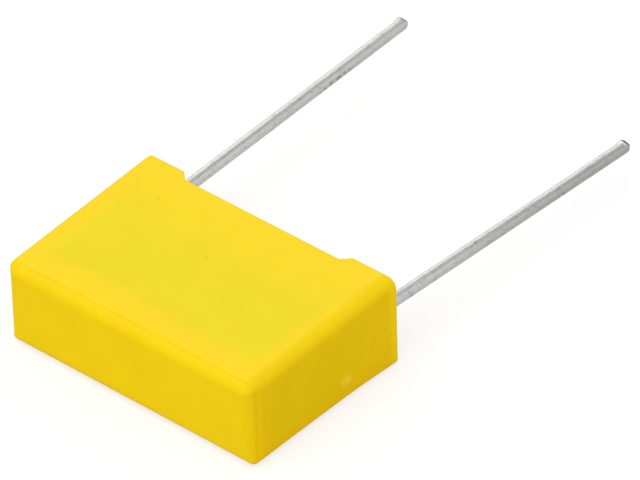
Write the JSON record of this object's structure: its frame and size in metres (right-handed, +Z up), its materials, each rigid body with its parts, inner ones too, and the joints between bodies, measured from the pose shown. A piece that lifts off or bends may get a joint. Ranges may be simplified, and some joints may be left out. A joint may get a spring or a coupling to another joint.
{
  "type": "safety capacitor",
  "caption": "Box-type film safety capacitor with radial wire leads: a drafted plastic box with standoff feet, resin-filled round a pressed film winding.",
  "frame": {"origin": "on the broad face that the box lies on, in the middle of its length and under the middle of its height", "axes": "+X along the row of leads, +Y from the closed top towards the leads, +Z up, square to the lower broad face"},
  "size_m": [0.018, 0.033, 0.0059],
  "materials": {
    "case_plastic": "satin moulded",
    "resin": "cured, slightly glossy",
    "film": "metallised film, satin",
    "sprayed_metal": "rough sprayed zinc",
    "tinned_wire": "drawn and tinned"
  },
  "bodies": {
    "root": {"case": "case_plastic", "potting_resin": "resin", "film_winding": "film", "end_spray_left": "sprayed_metal", "end_spray_right": "sprayed_metal", "lead_left": "tinned_wire", "lead_right": "tinned_wire"}
  },
  "joints": []
}
